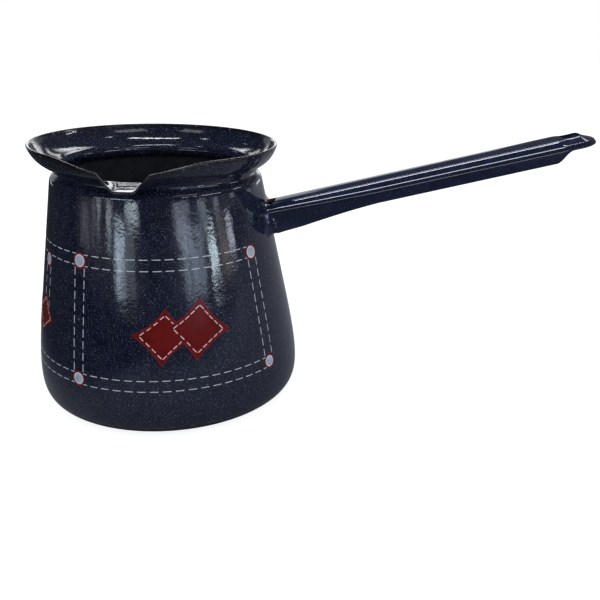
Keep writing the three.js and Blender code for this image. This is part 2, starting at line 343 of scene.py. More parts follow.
def bodyOutline():
    p = potBody
    line = [Vector((p["baseRadius"] * share, 0)) for share in sharesOf(p["baseSteps"], 0)]
    for share in sharesOf(p["bellySteps"]):
        turn = share * pi / 2
        out = sin(turn) ** (2 / p["bellyPower"]) if share < 1 else 1
        up = 1 - cos(turn) ** (2 / p["bellyPower"]) if share < 1 else 1
        line.append(Vector((p["baseRadius"] + (p["bellyRadius"] - p["baseRadius"]) * out, p["bellyHeight"] * up)))
    start, knee = line[-1], Vector((p["bellyRadius"], p["kneeHeight"]))
    end = Vector((wallRadius(p["taperHeight"]), p["taperHeight"]))
    line += [bend(start, knee, end, share) for share in sharesOf(p["kneeSteps"])]
    wallTop = p["shoulderHeight"] - p["shoulderRound"]
    for share in sharesOf(p["wallSteps"]):
        z = mixed(p["taperHeight"], wallTop, share)
        line.append(Vector((wallRadius(z), z)))
    shoulder = Vector((p["shoulderRadius"], p["shoulderHeight"]))
    groove = Vector((p["neckRadius"], p["shoulderHeight"] + p["neckRise"]))
    slope = (groove - shoulder).normalized()
    ledge, valley = shoulder + slope * p["shoulderRound"], groove - slope * p["neckRound"]
    line += [bend(line[-1], shoulder, ledge, share) for share in sharesOf(p["shoulderSteps"])]
    line.append(valley)
    neck = Vector((p["neckRadius"], groove.y + p["neckRound"]))
    line += [bend(valley, groove, neck, share) for share in sharesOf(p["grooveSteps"])]
    line += [Vector((neck.x, mixed(neck.y, p["collarHeight"], share))) for share in sharesOf(p["neckSteps"])]
    return line


def collarAt(turn):
    p = potBody
    away = abs(turn)
    up, out = p["rimHeight"] - p["collarHeight"], p["rimRadius"] - p["neckRadius"]
    full, length = atan2(up, out), hypot(up, out)

    def openAngle(a):
        return full - radians(p["spoutBend"]) * 0.5 * (1 + cos(min(a / p["spoutSpread"], 1) * pi))
    if away >= p["notchSpread"]:
        return openAngle(away), p["collarSag"], length
    ramp = (away / p["notchSpread"] - p["notchFloor"]) / (1 - p["notchFloor"])
    share = min(1.0, 0.5 * (ramp + sqrt(ramp * ramp + p["notchSoft"])))  # level floor, soft corners
    lip = asin((p["lipHeight"] - p["collarHeight"]) / length)
    angle = mixed(lip, openAngle(p["notchSpread"]), share)
    return angle, mixed(p["lipSag"], p["collarSag"], share), length


def normalsOf(line):
    normals = []
    for k in range(len(line)):
        run = (line[min(k + 1, len(line) - 1)] - line[max(k - 1, 0)]).normalized()
        normals.append(Vector((run.y, -run.x)))
    return normals


def roundNeck(inside, corner):  # the collar runs over into the neck in a soft round
    reach = potBody["neckFillet"]
    tip = inside[corner].copy()
    near = [k for k in range(len(inside)) if (inside[k] - tip).length < reach]
    first, last = near[0], near[-1]
    start, end = inside[first].copy(), inside[last].copy()
    for k in range(first, last + 1):
        inside[k] = bend(start, tip, end, (k - first) / (last - first))


def bodySection(outline, turn):  # outside, rounded rim edge, inside; also which points are rim edge
    angle, sag, length = collarAt(turn)
    along = Vector((cos(angle), sin(angle)))
    under = Vector((along.y, -along.x))
    neck = Vector((potBody["neckRadius"], potBody["collarHeight"]))
    outside = list(outline)
    for t in sharesOf(potBody["collarSteps"]):
        outside.append(neck + along * length * t + under * 4 * sag * t * (1 - t))
    normals = normalsOf(outside)
    inside = [p - n * potBody["wall"] for p, n in zip(outside, normals)]
    inside[0].x = 0
    roundNeck(inside, len(outline) - 1)
    edgeOut, edgeIn = outside[-1], inside[-1]
    forward = Vector((-normals[-1].y, normals[-1].x))
    middle, half = edgeOut.lerp(edgeIn, 0.5), (edgeOut - edgeIn) * 0.5
    bulge = forward * potBody["rimBulge"]
    turns = [share * pi for share in sharesOf(potBody["rimSteps"])[:-1]]
    edge = [middle + half * cos(a) + bulge * sin(a) for a in turns]
    return outside + edge + inside[::-1], len(outside) - 1, len(outside) + len(edge)


def lipTurns():  # degrees from the lip, close together at the pouring notch
    half = [0.0]
    for end, step in ((9, 0.5), (12, 0.25), (50, 1), (178, 2)):
        start = half[-1]
        half += [start + k * step for k in range(1, round((end - start) / step) + 1)]
    return [-a for a in half[:0:-1]] + half + [180.0]


def bodyCoat(row, rimStart, rimEnd):  # finish of a row of faces: wall, rim, inside, painted shade along the base edge, or the painted reflection line along its top
    if row <= potBody["scorchRows"]:
        return 3 if row < potBody["scorchRows"] else 4
    if rimStart - 1 <= row <= rimEnd:
        return 1
    return 2 if row >= rimEnd + potBody["collarRows"] else 0


def buildPotBody():
    outline = bodyOutline()
    turns = lipTurns()
    points, faces, slots = [], [], []
    for turn in turns:
        section, rimStart, rimEnd = bodySection(outline, turn)
        a = radians(turn)
        points += [(p.x * sin(a), -p.x * cos(a), p.y) for p in section]
    count = len(section)
    for i in range(len(turns)):
        j = (i + 1) % len(turns)
        for k in range(count - 1):
            a, b = i * count + k, j * count + k
            faces.append([a, b, b + 1, a + 1])
            slots.append(bodyCoat(k, rimStart, rimEnd))
    finishes = [
        enamelFinish("bodyEnamel", potBody), printAndShadeFinish("rimBlack", rimBand),
        enamelFinish("insideEnamel", potInside),
        # the last two are painted shade along the base edge and a painted reflection line along its top
        printAndShadeFinish("baseScorch", baseShade), printAndShadeFinish("baseWear", baseSheenLine),
    ]
    makePiece("potBody", points, faces, finishes, slots, replaces="pot_body")


buildPotBody()
print("coffee pot: body built")


# Handle: pressed channel with a flat top, two fluted facets a side and a hang hole
handleArm = {
    "wall": 1.1, "height": 87.1, "rise": 14.2, "length": 140.4, "landHalf": 7.0, "landDrop": 0.7,
    "bevelWidth": 1.9, "bevelDrop": 2.1, "cheekWidth": 0.7, "cheekDrop": 1.85, "fluteDepth": 0.03,
    "skirtDepth": 3.95, "skirtSplay": 0.2, "skirtRun": 7.7, "hemCurl": 0.25, "hemBulge": 0.275,
    "rootLength": 46.0, "rootEase": 1.4, "rootBevelWidth": 1.1, "rootBevelDrop": 1.4, "rootCheekWidth": 0.6,
    "rootCheekDrop": 1.4, "rootSkirtDepth": 9.5, "rootCurl": 3.0, "curlRun": 14.0,
    "tipLength": 5.0, "tipBow": 1.3, "tongueLength": 11.3, "tongueEdge": 0.5,
    "hangRadius": 4.25, "hangInset": 10.6, "hangRoll": 0.25, "rollRun": 0.5, "rollReach": 3.0,
    "noseInset": 17.0, "noseRun": 4.0, "noseNarrow": 2.2, "noseDip": 0.1, "noseFillet": 0.45, "noseCrease": 0.14,
    "ventHalf": 5.7, "ventLength": 1.9, "fillet": 1.0, "filletShare": 0.38, "browShare": 0.4, "curlShare": 0.8,
    "ventSteps": 10, "rootSteps": 26, "gripSteps": 16, "skirtSteps": 10, "holeSteps": 32, "tipSteps": 16,
    "landSteps": 8, "roundSteps": 5, "facetSteps": 6, "hemSteps": 4,
    "ground": (12, 18, 37), "deep": (9, 13, 28), "fleck": (120, 128, 146),
    "fleckScale": 2000.0, "fleckSize": 0.3, "fleckAmount": 0.3,
    "gloss": 0.07, "dulling": 0.03, "waveScale": 70.0, "waveDepth": 0.00001,
}
footJoint = {
    "length": 2.5, "sleeve": 0.35, "flareHigh": 8.2, "flareLow": 2.6, "flareTop": 1.3, "flareBottom": 2.0,
    "cornerRadius": 4.0, "sink": 0.25, "jointGap": 0.02,
    "sleeveShares": [0, 0.12, 0.24], "flareSteps": 10, "cornerSteps": 8, "fitSteps": 40,
    "ground": (18, 24, 48), "deep": (12, 16, 36), "fleck": (120, 132, 152),
    "fleckScale": 1050.0, "fleckSize": 0.2, "fleckAmount": 0.35,
    "gloss": 0.08, "dulling": 0.1, "waveScale": 90.0, "waveDepth": 0.00015,
}
armTilt = radians(handleArm["rise"])
armJoint = Vector((
    wallRadius(handleArm["height"]) + footJoint["length"] * cos(armTilt), 0,
    handleArm["height"] + footJoint["length"] * sin(armTilt),
))


def onArm(x, y, z):  # from the handle's own frame to the pot's
    return (
        armJoint.x + x * cos(armTilt) - z * sin(armTilt), y,
        armJoint.z + x * sin(armTilt) + z * cos(armTilt),
    )


def noseShare(x):
    start = handleArm["length"] - handleArm["noseInset"]
    return eased(x, start, start + handleArm["noseRun"])


def facetPoints(x):  # corners of the half section: outward from the flat top's edge, and height
    h = handleArm
    grip = 1 - (1 - clamped(x / h["rootLength"])) ** h["rootEase"]

    def grown(name):  # a size that changes from the root to the grip
        return mixed(h["root" + name[0].upper() + name[1:]], h[name], grip)
    nose = noseShare(x)
    skirtEnd = h["length"] - h["tongueLength"]
    skirtLeft = 1 - eased(x, skirtEnd - h["skirtRun"], skirtEnd)
    top = Vector((-h["noseNarrow"] * nose, -h["landDrop"] - h["noseDip"] * nose))
    ridge = Vector((grown("bevelWidth"), -h["landDrop"] - grown("bevelDrop")))
    brow = ridge + Vector((grown("cheekWidth"), -grown("cheekDrop")))
    hem = brow + Vector((h["skirtSplay"] * skirtLeft, -h["tongueEdge"] - grown("skirtDepth") * skirtLeft))
    return top, ridge, brow, hem


def fluted(start, end, share):  # a facet with a shallow hollow
    run = end - start
    inward = Vector((run.y, -run.x)).normalized() * handleArm["fluteDepth"]
    return bend(start, start.lerp(end, 0.5) + inward * 2, end, share)


def sideLine(x):  # half section from the flat top's rounded edge down to the hem
    h = handleArm
    top, ridge, brow, hem = facetPoints(x)
    fillet = mixed(h["fillet"], h["noseFillet"], noseShare(x))
    crease = mixed(h["fillet"], h["noseCrease"], noseShare(x))  # the lower edges are sharper at the nose
    first = min(h["filletShare"], fillet / (ridge - top).length)
    last = 1 - min(h["filletShare"], crease / (ridge - top).length)
    second = min(h["filletShare"], crease / (brow - ridge).length)
    final = 1 - second
    down = (hem - brow).normalized()
    bottom = brow + down * min(fillet, h["browShare"] * (hem - brow).length)
    curl = max(h["hemCurl"], h["rootCurl"] * (1 - eased(x, 0, h["curlRun"])))  # the skirt turns in under the root
    curl = min(curl, h["curlShare"] * (hem - bottom).length)
    knee = hem - down * curl
    rounds, facets = sharesOf(h["roundSteps"]), sharesOf(h["facetSteps"])
    edge = top - Vector((fillet, 0))
    line = [bend(edge, top, fluted(top, ridge, first), t) for t in [0.0] + rounds]
    line += [fluted(top, ridge, mixed(first, last, t)) for t in facets]
    line += [bend(fluted(top, ridge, last), ridge, fluted(ridge, brow, second), t) for t in rounds]
    line += [fluted(ridge, brow, mixed(second, final, t)) for t in facets]
    line += [bend(fluted(ridge, brow, final), brow, bottom, t) for t in rounds]
    line += [bottom.lerp(knee, t) for t in rounds]
    line += [bend(knee, hem, hem - Vector((curl, 0)), t) for t in facets]
    return line


def openHalf(x):  # half width of the vent and of the hang hole at a length
    h = handleArm
    vent = 1 - (x / h["ventLength"]) ** 2
    hang = 1 - ((x - h["length"] + h["hangInset"]) / h["hangRadius"]) ** 2
    if vent > 1e-9:
        return h["ventHalf"] * sqrt(vent)
    return h["hangRadius"] * sqrt(hang) if hang > 1e-9 else 0.0


def hangRoll(x, y):  # the sheet rolls down round the hang hole
    h = handleArm
    reach = hypot(x - h["length"] + h["hangInset"], y) - h["hangRadius"]
    return h["hangRoll"] * exp(-max(reach, 0) / h["rollRun"]) if reach < h["rollReach"] else 0.0


def armStations():  # (length, turn round the tip)
    h = handleArm
    roundStart = h["length"] - h["tipLength"] - h["bevelWidth"] - h["cheekWidth"]
    reach = h["tipLength"] - h["noseNarrow"] - h["noseFillet"]
    skirtStart = h["length"] - h["tongueLength"] - h["skirtRun"]
    holeAt = h["length"] - h["hangInset"]
    xs = [h["ventLength"] * sin(t * pi / 2) for t in sharesOf(h["ventSteps"], 0)]
    ends = ((h["rootLength"], "rootSteps"), (skirtStart, "gripSteps"), (holeAt - h["hangRadius"], "skirtSteps"))
    for end, steps in ends:
        xs += [mixed(xs[-1], end, t) for t in sharesOf(h[steps])]
    xs += [holeAt - h["hangRadius"] * cos(t * pi) for t in sharesOf(h["holeSteps"])]
    stations = [(x, asin(max(x - roundStart, 0.0) / reach)) for x in xs]
    lastTurn = stations[-1][1]
    for t in sharesOf(h["tipSteps"]):
        turn = mixed(lastTurn, pi / 2, t)
        stations.append((roundStart + reach * sin(turn), turn))
    return stations, roundStart


def armSection(x, turn, roundStart):  # outside, rounded hem, inside of one half; also the opening's half width
    h = handleArm
    profileX = min(x, roundStart)
    line = sideLine(profileX)
    normals = normalsOf([Vector((-h["landHalf"], line[0].y))] + line)[1:]
    inner = [p + n * h["wall"] for p, n in zip(line, normals)]  # the same on the inside of the sheet
    gap = openHalf(x)
    crown = h["landDrop"] * cos(turn)
    bow = h["tipBow"] * sin(turn) ** 2  # the rounded end bends down
    sinks = [bow * clamped((p.y - line[-1].y) / (line[0].y - line[-1].y)) for p in line]

    def around(out):  # along and across the handle, round its tip
        return profileX + (h["tipLength"] + out) * sin(turn), (h["landHalf"] + out) * cos(turn)
    rows = []
    for run in (line, inner):
        edgeX, edge = around(run[0].x)
        row = []
        for t in sharesOf(h["landSteps"], 0)[:-1]:
            y = mixed(gap, edge, t)
            flat = 1 - (y / edge) ** 2 if edge > 1e-6 else 0.0
            row.append(Vector((edgeX, y, run[0].y + crown * flat - bow - hangRoll(edgeX, y))))
        for p, sink in zip(run, sinks):
            px, py = around(p.x)
            row.append(Vector((px, py, p.y - sink - hangRoll(px, py))))
        rows.append(row)
    outside, inside = rows
    middle, half = outside[-1].lerp(inside[-1], 0.5), (outside[-1] - inside[-1]) * 0.5
    below = Vector((0, 0, h["hemBulge"]))
    turns = [t * pi for t in sharesOf(h["hemSteps"])[:-1]]
    hem = [middle + half * cos(a) - below * sin(a) for a in turns]
    return outside + hem + inside[::-1], gap


def twoHalves(halves, openings, seam, caps):  # mirrored shells; no faces at the seam or where they meet
    count = len(halves[0])
    points, faces, slots = [], [], []
    for mirror in (1, -1):
        first = len(points)
        for half in halves:
            points += [onArm(x, y * mirror, z) for x, y, z in half]
        for i in range(len(halves) - 1):
            a, b = first + i * count, first + (i + 1) * count
            whole = openings[i] == 0 and openings[i + 1] == 0
            for k in range(count - whole):
                if k != seam:
                    faces.append([a + k, b + k, b + (k + 1) % count, a + (k + 1) % count])
                    slots.append(int(k > seam))
        for i in caps:
            a = first + i * count
            for k in range((count - 1) // 2):
                faces.append([a + k, a + k + 1, a + count - 2 - k, a + count - 1 - k])
                slots.append(int(count > seam))
    return points, faces, slots


def buildHandle():
    stations, roundStart = armStations()
    halves, openings = zip(*[armSection(x, turn, roundStart) for x, turn in stations])
    points, faces, slots = twoHalves(halves, openings, len(halves[0]), (0,))
    finishes = [enamelFinish("handleEnamel", handleArm)]
    makePiece("ridgedHandle", points, faces, finishes, slots, replaces="handle")


buildHandle()
print("coffee pot: handle built")


# Foot: short flared socket between the wall and the handle
ventRust = {
    "shine": 0.4, "fresh": (44, 30, 24), "worn": (84, 72, 64),
    "scale": 600.0, "wearTo": 0.7, "gloss": 0.5, "dulling": 0.2,
}


def wallAlong(y, z):  # where the wall lies along the handle's axis
    x = -footJoint["length"]
    for step in range(footJoint["fitSteps"]):
        out, middle, height = onArm(x, 0, z)
        x -= hypot(out, y) - wallRadius(height) + footJoint["sink"]
    return x


def footHalf(gap):  # half outline at the joint, from the vent's edge over the side to the middle below
    h, radius = handleArm, footJoint["cornerRadius"]
    hem = facetPoints(0)[3]
    side, low = h["landHalf"] + hem.x, hem.y + radius
    line = sideLine(0)[:-h["roundSteps"] - h["facetSteps"]]  # without the skirt
    edge = h["landHalf"] + line[0].x
    half = []
    for t in sharesOf(h["landSteps"], 0)[:-1]:
        y = mixed(gap, edge, t)
        half.append(Vector((y, line[0].y + h["landDrop"] * (1 - (y / edge) ** 2))))
    half += [Vector((h["landHalf"] + p.x, p.y)) for p in line]
    half += [half[-1].lerp(Vector((side, low)), t) for t in sharesOf(h["roundSteps"])]
    for t in sharesOf(footJoint["cornerSteps"]):
        a = t * pi / 2
        half.append(Vector((side - radius + radius * cos(a), low - radius * sin(a))))
    half += [half[-1].lerp(Vector((0, hem.y)), t) for t in sharesOf(h["roundSteps"])]
    return half


def footSection(share):  # outside and inside of one half between joint and wall; also the vent's half width
    f = footJoint

    def along(y, z):
        return mixed(-f["jointGap"], wallAlong(y, z), share)
    gap = openHalf(along(0, 0))
    half = footHalf(gap)
    before, after = (Vector((-p.x, p.y)) for p in (half[1], half[-2]))  # over the middle, on the other half
    normals = [-n for n in normalsOf([before] + half + [after])[1:-1]]
    normals[-1] = Vector((0, -1))
    if gap == 0:
        normals[0] = Vector((0, 1))
    depth = -facetPoints(0)[3].y
    bow = clamped((share - f["sleeve"]) / (1 - f["sleeve"]))
    rise = 1 - sqrt(max(0, 1 - bow * bow))
    rows = []
    for inset in (0.0, handleArm["wall"]):
        row = []
        for p, n in zip(half, normals):
            flare = mixed(f["flareLow"], f["flareHigh"], 1 + p.y / depth) * abs(n.x)
            flare += abs(n.y) * (f["flareTop"] if n.y > 0 else f["flareBottom"])
            spot = p + n * (flare * rise - inset)
            row.append((along(spot.x, spot.y), spot.x, spot.y))
        rows.append(row)
    return rows[0] + rows[1][::-1], gap


def buildFoot():
    f = footJoint
    flared = [mixed(f["sleeve"], 1, sin(t * pi / 2)) for t in sharesOf(f["flareSteps"], 0)]
    halves, openings = zip(*[footSection(share) for share in f["sleeveShares"] + flared])
    points, faces, slots = twoHalves(halves, openings, len(halves[0]) // 2 - 1, (0, len(halves) - 1))
    finishes = [enamelFinish("footEnamel", f), printAndShadeFinish("ventRust", ventRust)]
    makePiece("handleFoot", points, faces, finishes, slots, replaces="handle_foot")


buildFoot()
print("coffee pot: foot built")


# Weld beads: a ripple of metal on each side of the joint, under the same coat
weldBead = {
    "halfWidth": 1.0, "proud": 0.9, "halfHeight": 2.8, "ripples": 5, "rippleDepth": 0.14, "lag": 0.25,
    "rows": 36, "columns": 14,
    "ground": (30, 35, 55), "deep": (18, 22, 40), "fleck": (150, 155, 165),
    "fleckScale": 1400.0, "fleckSize": 0.3, "fleckAmount": 0.4,
    "gloss": 0.14, "dulling": 0.15, "waveScale": 500.0, "waveDepth": 0.00006,
}


def buildBead(name, side, node, finish):
    h, b = handleArm, weldBead
    seat = h["landHalf"] + h["rootBevelWidth"] + h["rootCheekWidth"]
    middle = -h["landDrop"] - h["rootBevelDrop"] - h["rootCheekDrop"] - h["rootSkirtDepth"] / 2
    rows, columns = b["rows"], b["columns"]
    points, faces = [], []
    for i in range(rows + 1):
        v = (i / rows - 0.5) * pi
        ripple = 1 + b["rippleDepth"] * cos(v * 2 * b["ripples"])
        for k in range(columns + 1):
            u = k / columns * pi
            lag = b["lag"] * sin(u)  # the ripples curve like drops that cooled one over the other
            points.append(onArm(
                b["halfWidth"] * ripple * cos(u) * cos(v),
                side * (seat + b["proud"] * ripple * sin(u) * cos(v)),
                middle + b["halfHeight"] * sin(v) - lag * cos(v),
            ))
    step = columns + 1
    for i in range(rows):
        a, b = i * step, (i + 1) * step
        faces += [[a + k, a + (k + 1) % step, b + (k + 1) % step, b + k] for k in range(step)]
    makePiece(name, points, faces, [finish], replaces=node)


weldFinish = enamelFinish("weldEnamel", weldBead)
buildBead("weldFront", -1, "handle_weld_front", weldFinish)
buildBead("weldBack", 1, "handle_weld_back", weldFinish)
print("coffee pot: weld beads built")


# Printed decoration: thin fired layers that follow the wall, so they are slabs bent onto it
def onWall(angle, z, lift):
    nudge = 0.05
    slope = (outsideRadius(z + nudge) - outsideRadius(z - nudge)) / (2 * nudge)
    length = hypot(1, slope)
    r, up = outsideRadius(z) + lift / length, z - slope * lift / length
    a = radians(angle)
    return (r * cos(a), r * sin(a), up)


def perDegree(z):  # length of a degree round the wall
    return radians(1) * outsideRadius(z)


class PrintLayer:  # gathers printed slabs into one mesh
    def __init__(self):
        self.points, self.faces, self.slots = [], [], []

    def slab(self, outline, lift, rings=1, sink=0.04, slot=0, dome=0.0):
        count = len(outline)
        midAngle, midZ = (sum(values) / count for values in zip(*outline))
        first = len(self.points)
        for raised in (True, False):
            for ring in range(rings):
                share = 1 - ring / rings
                height = lift + dome * (1 - share * share) if raised else -sink
                spots = [(mixed(midAngle, a, share), mixed(midZ, z, share)) for a, z in outline]
                self.points += [onWall(a, z, height) for a, z in spots]
            self.points.append(onWall(midAngle, midZ, lift + dome if raised else -sink))
        below = first + rings * count + 1
        around = [(k, (k + 1) % count) for k in range(count)]
        faces = []
        for start in (first, below):
            for ring in range(rings):
                a, b = start + ring * count, start + (ring + 1) * count
                middle = ring == rings - 1
                faces += [[a + k, a + n, b] if middle else [a + k, a + n, b + n, b + k] for k, n in around]
        faces += [[first + k, below + k, below + n, first + n] for k, n in around]
        self.faces += faces
        self.slots += [slot] * len(faces)

    def finish(self, name, materials):
        makePiece(name, self.points, self.faces, materials, self.slots, sharpAngle=35)


def barOutline(angle, z, turn, length, width):  # stitch: rounded bar, turned from level, in angle and height
    half, side = length / 2, width / 2
    corner = side * 0.7
    spots = []
    for quarter, (right, up) in enumerate(((1, 1), (-1, 1), (-1, -1), (1, -1))):
        x, y = right * (half - corner), up * (side - corner)
        for k in range(4):
            a = radians(quarter * 90 + k * 30)
            spots.append((x + corner * cos(a), y + corner * sin(a)))
        if quarter in (0, 2):  # points along a long side, so that it bends with the wall
            spots += [(mixed(spots[-1][0], -spots[-1][0], t), spots[-1][1]) for t in sharesOf(4)[:-1]]
    c, s = cos(radians(turn)), sin(radians(turn))
    return [(angle + (x * c - y * s) / perDegree(z), z + x * s + y * c) for x, y in spots]


def discOutline(angle, z, radius, sides=40):
    turns = [t * 2 * pi for t in sharesOf(sides, 0)[:-1]]
    return [(angle + radius * cos(a) / perDegree(z), z + radius * sin(a)) for a in turns]


seamStitch = {
    "levels": ((74.2, 69.85), (26.4, 21.9)),  # heights of the double lines round the pot
    # degrees from the handle on both sides, drop, and stitches where it is short
    "uprights": ((31.0, 0.0, 0), (118.0, 0.0, 0), (144.7, 4.2, 4)),
    "gap": 4.8, "dash": 3.35, "period": 5.0, "uprightDash": 3.2495, "uprightPeriod": 4.75,
    "width": 0.29, "lift": 0.04,
    "fresh": (192, 194, 202), "worn": (160, 164, 175),
}
studDot = {
    "heights": (71.7, 24.1), "radius": 2.4, "ring": 0.48, "border": 0.85, "lap": 0.05,
    "lift": 0.08, "coat": 0.03, "dome": 0.12,
    "paintGrey": {
        "fresh": (152, 163, 176), "worn": (126, 138, 152),
        "scale": 500.0, "wearFrom": 0.4, "wearTo": 0.7, "gloss": 0.1,
    },
    "paintWhite": {"fresh": (192, 198, 207), "worn": (160, 168, 180)},
    "paintRed": {"fresh": (108, 22, 26), "worn": (90, 18, 24)},
}


def buildSeams():
    s = seamStitch
    layer = PrintLayer()
    angles = [upright for upright, drop, short in s["uprights"] if not short]
    stops = [-a for a in angles] + [a - 360 for a in angles[::-1]]
    for z in [z for pair in s["levels"] for z in pair]:
        for right, left in zip(stops, stops[1:]):
            count = round((right - left) * perDegree(z) / s["period"])
            for k in range(count):
                angle = mixed(left, right, (k + 0.5) / count)
                layer.slab(barOutline(angle, z, 0, s["dash"], s["width"]), s["lift"])
    for upright, drop, short in s["uprights"]:
        high, low = s["levels"][0][1] - drop, s["levels"][1][0]
        count = short or round((high - low) / s["uprightPeriod"])
        low = high - short * s["uprightPeriod"] if short else low
        for side in (-1, 1):
            for offset in (-s["gap"] / 2, s["gap"] / 2):
                for k in range(count):
                    z = mixed(low, high, (k + 0.5) / count)
                    angle = side * upright + offset / perDegree(z)
                    layer.slab(barOutline(angle, z, 90, s["uprightDash"], s["width"]), s["lift"])
    layer.finish("seamStitches", [printAndShadeFinish("stitchPaint", s)])


def buildStuds():
    s = studDot
    layer = PrintLayer()
    discs = (  # radius, lift, rings of faces, finish and dome
        (s["radius"] + s["border"], s["lift"], 2, 2, 0.0),
        (s["radius"] + s["lap"], s["lift"] + s["coat"], 2, 1, 0.0),
        (s["radius"] - s["ring"], s["lift"] + 2 * s["coat"], 4, 0, s["dome"]),
    )
    for upright, drop, short in seamStitch["uprights"]:
        for side in (-1, 1):
            for height in s["heights"][:1 if short else 2]:
                for radius, lift, rings, slot, dome in discs:
                    outline = discOutline(side * upright, height - drop, radius)
                    layer.slab(outline, lift, rings, slot=slot, dome=dome)
    finishes = [printAndShadeFinish("stud" + name, s["paint" + name]) for name in ("Grey", "White", "Red")]
    layer.finish("studDots", finishes)


buildSeams()
buildStuds()
print("coffee pot: seams and studs printed")

# Pairs of lapped diamonds, each with a stitched line inside its edge
diamondPair = {
    "middles": ((76.0, 1.0, 0.0), (156.5, 0.72, 1.85)),  # degrees from the handle on both sides, scale, and drop
    "behind": ((-15.9, 45.0), (-1.7, 55.6), (9.5, 44.2), (-4.64, 32.3)),  # tips: along the wall and height
    "front": ((-2.6, 47.8), (12.7, 58.9), (24.0, 44.3), (8.6, 33.6)),
    "centre": Vector((4, 46)), "reach": 53.3,  # middle of the pair, and the wall's radius there
    "sag": 1.2, "edge": 0.715, "sideSteps": 12, "rings": 6, "behindLift": 0.05, "frontLift": 0.12, "coat": 0.02,
    "stitchScale": 0.77, "stitchSag": 0.4, "dash": 2.1, "period": 3.15, "width": 0.36, "stitchLift": 0.045,
    "fill": {
        "fresh": (96, 20, 20), "worn": (84, 15, 16), "scale": 160.0, "wearFrom": 0.4, "wearTo": 0.7,
    },
    "border": {
        "fresh": (110, 24, 24), "worn": (96, 20, 21), "scale": 400.0, "wearFrom": 0.45, "wearTo": 0.7,
    },
    "thread": {"fresh": (214, 190, 192), "worn": (176, 140, 144)},
}


def diamondSide(start, end, middle, sag, share):  # the sides draw in a little
    spot = start.lerp(end, share)
    run = end - start
    inward = Vector((-run.y, run.x)).normalized()
    if inward.dot(middle - spot) < 0:
        inward = -inward
    return spot + inward * sag * 4 * share * (1 - share)


def buildDiamonds():
    d = diamondPair
    patches, threads = PrintLayer(), PrintLayer()
    for middleAngle, scale, drop in d["middles"]:
        for side in (-1, 1):
            def spotOf(v):
                along, z = d["centre"].lerp(v, scale)
                return side * (middleAngle - degrees(along / d["reach"])), z - drop
            for name in ("behind", "front"):
                tips, lift = [Vector(t) for t in d[name]], d[name + "Lift"]
                middle = sum(tips, Vector((0, 0))) / 4
                pairs = list(zip(tips, tips[1:] + tips[:1]))
                steps = sharesOf(d["sideSteps"], 0)[:-1]
                outline = [diamondSide(a, b, middle, d["sag"], t) for a, b in pairs for t in steps]
                inner = [p + (middle - p).normalized() * d["edge"] for p in outline]
                patches.slab([spotOf(p) for p in outline], lift, d["rings"], slot=1)
                patches.slab([spotOf(p) for p in inner], lift + d["coat"], d["rings"], slot=0)
                for pair in pairs:
                    a, b = (middle.lerp(t, d["stitchScale"]) for t in pair)
                    run = b - a
                    turn = degrees(atan2(run.y, run.x)) * -side
                    count = round(run.length / d["period"])
                    for k in range(count):
                        angle, z = spotOf(diamondSide(a, b, middle, d["stitchSag"], (k + 0.5) / count))
                        stitch = barOutline(angle, z, turn, d["dash"] * scale, d["width"])
                        threads.slab(stitch, lift + d["stitchLift"])
    reds = [printAndShadeFinish("diamondRed", d["fill"]), printAndShadeFinish("diamondEdge", d["border"])]
    patches.finish("diamondPatches", reds)
    threads.finish("diamondStitches", [printAndShadeFinish("diamondThread", d["thread"])])


buildDiamonds()
print("coffee pot: diamonds printed")

